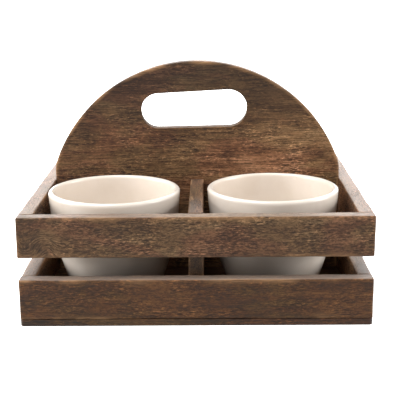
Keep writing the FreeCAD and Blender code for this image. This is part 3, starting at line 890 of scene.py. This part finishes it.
def outward_normals(loop):
    """The outward normal at each point of an anticlockwise outline."""
    ahead = np.roll(loop, -1, axis=0) - np.roll(loop, 1, axis=0)
    ahead /= np.linalg.norm(ahead, axis=1)[:, None]
    return np.column_stack([ahead[:, 1], -ahead[:, 0]])


def handle_outlines(low, high, size):
    """The handle board's outline and its grip hole's, both as points on the same rays."""
    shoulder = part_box("upper_front_rail")[1][2] + SHOULDER_HEIGHT
    outline = arch_outline(size.x / 2, low.z, shoulder, high.z - shoulder, SHOULDER_ROUND)
    middle = np.array([GRIP_OFFSET, high.z - GRIP_BELOW_TOP])
    reach = GRIP_CENTRE_DISTANCE / 2 * direction(math.radians(GRIP_TILT))
    grip = grip_outline(middle - reach, GRIP_LEFT_RADIUS, middle + reach, GRIP_RIGHT_RADIUS)

    out_ray, grip_ray = outline - middle, grip - middle
    angle = np.arctan2(out_ray[:, 1], out_ray[:, 0])
    grip_angle = np.arctan2(grip_ray[:, 1], grip_ray[:, 0])
    order = np.argsort(grip_angle)
    grip_reach = np.linalg.norm(grip_ray, axis=1)[order]
    hole_reach = np.interp(angle, grip_angle[order], grip_reach, period=2 * math.pi)
    hole = middle + hole_reach[:, None] * np.column_stack([np.cos(angle), np.sin(angle)])
    return outline, hole


def handle_rings(outline, hole, half):
    """Rings of points round the handle board, and how worn each point is.

    They run from the grip hole out over the front, round the outer edge, back over the rear and round
    the hole's edge, so the last of them line the hole.
    """
    along = np.arange(len(outline)) / len(outline)
    out_normal, hole_normal = outward_normals(outline), outward_normals(hole)
    rail_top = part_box("upper_front_rail")[1][2]
    arched = np.clip((outline[:, 1] - rail_top) / (20 * MM), 0, 1)
    outline = outline - out_normal * (CUT_WAVER * arched * waver(along, 5, 2, 15))[:, None]
    out_round = EDGE_RADIUS + EDGE_WEAR * waver(along, 6, 4, 40)
    hole_round = GRIP_ROUNDING * (EDGE_RADIUS + EDGE_WEAR * waver(along, 7, 3, 25))
    out_wear = np.clip(2.6 * waver(along, 8, 3, 30) - 0.8, 0.1, 1.0)
    hole_wear = 0.25 * waver(along, 9, 3, 20)
    share = 0.5 - 0.5 * np.cos(np.linspace(0, math.pi, FACE_ROWS))
    rings, wear = [], []

    def ring(place, depth, worn):
        rings.append(np.column_stack([place[:, 0], depth, place[:, 1]]))
        wear.append(worn)

    def face(side, shares):
        outer = outline - out_normal * out_round[:, None]
        inner = hole + hole_normal * hole_round[:, None]
        width = np.linalg.norm(outer - inner, axis=1)
        for part in shares:
            place = inner + (outer - inner) * part
            gap = width * min(part, 1 - part)
            dip = FACE_HOLLOW * ripple(place, 11 + side, 18 * MM, 70 * MM)
            dip = dip * np.clip(gap / (6 * MM), 0, 1)
            worn = np.zeros(len(along))
            if part > 0.5:
                worn = np.clip(1 - gap / (2.5 * MM), 0, 1) * out_wear
            ring(place, side * (half - dip), worn)

    def edge(loop, normal, radius, first_side, worn):
        for side, turns in ((first_side, EDGE_TURNS), (-first_side, EDGE_TURNS[::-1])):
            for turn in turns:
                inset = normal * (radius * (1 - math.sin(turn)))[:, None]
                ring(loop - inset, side * (half - radius * (1 - math.cos(turn))), worn)

    face(-1, share[:-1])
    edge(outline, out_normal, out_round, -1, out_wear)
    face(1, share[::-1][1:-1])
    edge(hole, -hole_normal, hole_round, 1, hole_wear)
    return rings, wear


def make_handle_board():
    """The arched board, notched from below where it crosses the divider."""
    node = "handle_board"
    low, high, size = size_of(node)
    outline, hole = handle_outlines(low, high, size)
    rings, wear = handle_rings(outline, hole, size.y / 2)

    count, rows = len(outline), len(rings)
    corners = np.arange(count * rows).reshape(rows, count)
    across, on = np.roll(corners, -1, axis=0), np.roll(corners, -1, axis=1)
    quads = np.stack([corners, across, np.roll(on, -1, axis=0), on], axis=-1).reshape(-1, 4)
    mesh = bpy.data.meshes.new("cut_handle_board")
    mesh.from_pydata(np.vstack(rings).tolist(), [], quads.tolist())
    worn = mesh.attributes.new("wear", "FLOAT", "POINT")
    worn.data.foreach_set("value", np.concatenate(wear).astype(np.float32))
    for stain in handle_stains():
        mesh.materials.append(stain)
    in_hole = np.repeat(np.arange(rows) >= rows - 2 * len(EDGE_TURNS), count)
    mesh.polygons.foreach_set("material_index", in_hole.astype(np.int32))

    piece = linked("cut_handle_board", mesh)
    divider_low, divider_high, _ = size_of("divider")
    notch = box_cutter(
        (divider_low.x, 2 * low.y, low.z - 1 * MM),
        (divider_high.x, 2 * high.y, low.z + LAP_HEIGHT),
    )
    cut(piece, [notch, merged_copy("handle_board_dowels"), merged_copy("base_screws")])
    finish_piece(piece, node)


def handle_stains():
    """The handle board's material, darker up the arch and paler to the right, and the grip hole's."""
    (left, _, _), (right, _, top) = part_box("handle_board")
    start, end, share = HANDLE_TOP_FADE
    upwards = ("z", top - start, top - end, share)
    start, end, share = HANDLE_SIDE_FADE
    rightwards = ("x", start * left, end * right, share)
    fades = [upwards, rightwards]
    return [
        stained_wood("stain_handle_board", 21, "x", HANDLE_TONE, HANDLE_WARMTH, fades),
        stained_wood("stain_grip_hole", 21, "x", GRIP_TONE, HANDLE_WARMTH, fades, gloss=GRIP_GLOSS),
    ]


def make_divider(tree):
    """The divider, notched from above where the handle board crosses it."""
    board_low, board_high, _ = size_of("handle_board")
    low, high, _ = size_of("divider")
    notch = box_cutter(
        (2 * low.x, board_low.y, board_low.z + LAP_HEIGHT),
        (2 * high.x, board_high.y, 2 * high.z),
    )
    cutters = [notch, merged_copy("divider_dowels"), merged_copy("base_screws")]
    board(tree, "divider", 22, stained_wood("stain_divider", 22, "y"), cutters)


def make_bowls(tree):
    """The four bowls, each turned and glazed a little differently."""
    clay = bare_stoneware()
    for seed, (end, side) in enumerate(itertools.product(("front", "back"), ("left", "right")), start=1):
        node = f"bowl_{end}_{side}"
        low, high, size = size_of(node)
        mesh = made_mesh(f"turned_{node}", tree, {
            **BOWL_PROFILE,
            "Rim Radius": size.x / 2,
            "Height": size.z,
            "Seed": BOWL_SEED_STEP * seed,
            "Glaze": glazed_stoneware(f"glaze_{node}", seed),
            "Clay": clay,
        })
        centre = (low + high) / 2
        mesh.transform(Matrix.Translation((centre.x, centre.y, low.z)))
        finish_piece(linked(f"turned_{node}", mesh), node, body=node)


def paint(node, material):
    """Gives a CAD piece a finish of its own."""
    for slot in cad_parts[node].material_slots:
        slot.material = material


# ---------------------------------------------------------------- stage


def softbox(name, place, power, width, height):
    """A rectangular light that faces the caddy and isn't seen itself."""
    data = bpy.data.lights.new(name, "AREA")
    data.shape = "RECTANGLE"
    data.size, data.size_y = width, height
    data.energy = power
    light = linked(name, data)
    light.location = place
    facing = Vector(LIT_POINT) - Vector(place)
    light.rotation_euler = facing.to_track_quat("-Z", "Y").to_euler()
    light.visible_camera = False


def stage_surface(name, corners, faces, grey, glow):
    """A surface of the stage with a white glow that doesn't light the caddy, and its shader."""
    mesh = bpy.data.meshes.new(name)
    mesh.from_pydata(corners, [], faces)
    surface = linked(name, mesh)
    material, _, shader = new_material(f"stage_{name}")
    shader.inputs["Base Color"].default_value = (grey, grey, grey, 1)
    shader.inputs["Emission Color"].default_value = (1, 1, 1, 1)
    shader.inputs["Emission Strength"].default_value = glow
    mesh.materials.append(material)
    surface.visible_diffuse = False
    return surface, shader


def make_floor():
    """A pale floor that reaches far past the caddy."""
    reach = FLOOR_REACH
    corners = [(-reach, -reach, 0), (reach, -reach, 0), (reach, reach, 0), (-reach, reach, 0)]
    _, shader = stage_surface("floor", corners, [(0, 1, 2, 3)], FLOOR_GREY, FLOOR_GLOW)
    shader.inputs["Roughness"].default_value = 0.9


def make_backdrop():
    """A white wall all round the floor, which only the camera sees."""
    count = BACKDROP_SIDES
    turns = 2 * math.pi * np.arange(count) / count
    rim = [(BACKDROP_REACH * math.cos(turn), BACKDROP_REACH * math.sin(turn)) for turn in turns]
    corners = [(x, y, z) for z in (0, BACKDROP_HEIGHT) for x, y in rim]
    faces = []
    for low in range(count):
        after = (low + 1) % count
        faces.append((low, after, count + after, count + low))
    backdrop, _ = stage_surface("backdrop", corners, faces, 0, 1.0)
    backdrop.visible_glossy = False
    backdrop.visible_shadow = False


def light_room():
    """A little white light from all round, more of it from above."""
    world = bpy.data.worlds.new("white_room")
    world.use_nodes = True
    room = world.node_tree
    upwards = parts_of(room, add(room, "ShaderNodeTexCoord").outputs["Generated"])[2]
    glow = smooth_step(room, upwards, 0.0, ROOM_LIGHT_RISE, ROOM_LOW_LIGHT, ROOM_HIGH_LIGHT)
    room.nodes["Background"].inputs["Color"].default_value = (1, 1, 1, 1)
    room.links.new(glow, room.nodes["Background"].inputs["Strength"])
    bpy.context.scene.world = world


def make_stage():
    """The floor, the backdrop, the room's light and the softboxes, with colours shown plainly."""
    make_floor()
    make_backdrop()
    light_room()
    for name, place, power, width, height in SOFTBOXES:
        softbox(name, place, power, width, height)
    bpy.context.scene.view_settings.view_transform = "Standard"
    bpy.context.scene.view_settings.look = "None"


def make_camera():
    """Seen from the front and a little above, with a long lens."""
    yaw, pitch, roll = (math.radians(angle) for angle in (CAMERA_YAW, CAMERA_PITCH, CAMERA_ROLL))
    ahead = math.cos(pitch)
    forward = Vector((math.sin(yaw) * ahead, math.cos(yaw) * ahead, -math.sin(pitch)))
    level = Vector((math.cos(yaw), -math.sin(yaw), 0))
    upright = level.cross(forward)
    right = level * math.cos(roll) + upright * math.sin(roll)
    up = upright * math.cos(roll) - level * math.sin(roll)
    data = bpy.data.cameras.new("camera")
    data.lens = CAMERA_LENS
    data.sensor_width = CAMERA_SENSOR
    camera = linked("camera", data)
    turn = Matrix((right, up, -forward)).transposed()
    camera.matrix_world = Matrix.Translation(CAMERA_PLACE) @ turn.to_4x4()
    bpy.context.scene.camera = camera


make_camera()
make_stage()
board_tree = worn_board_tree()
make_rails(board_tree)
make_divider(board_tree)
make_handle_board()
make_bowls(turned_bowl_tree())
# the base's darker tone is partly its stain and partly painted shade, as less light reaches the bottom
paint("base_panel", stained_wood("stain_base", 23, "x", BASE_TONE_AND_SHADE, painted_sheen=0.0))
beech = beech_dowel()
for name in ("lower_corner_dowels", "upper_corner_dowels", "handle_board_dowels", "divider_dowels"):
    paint(name, beech)
paint("base_screws", zinc_plate())
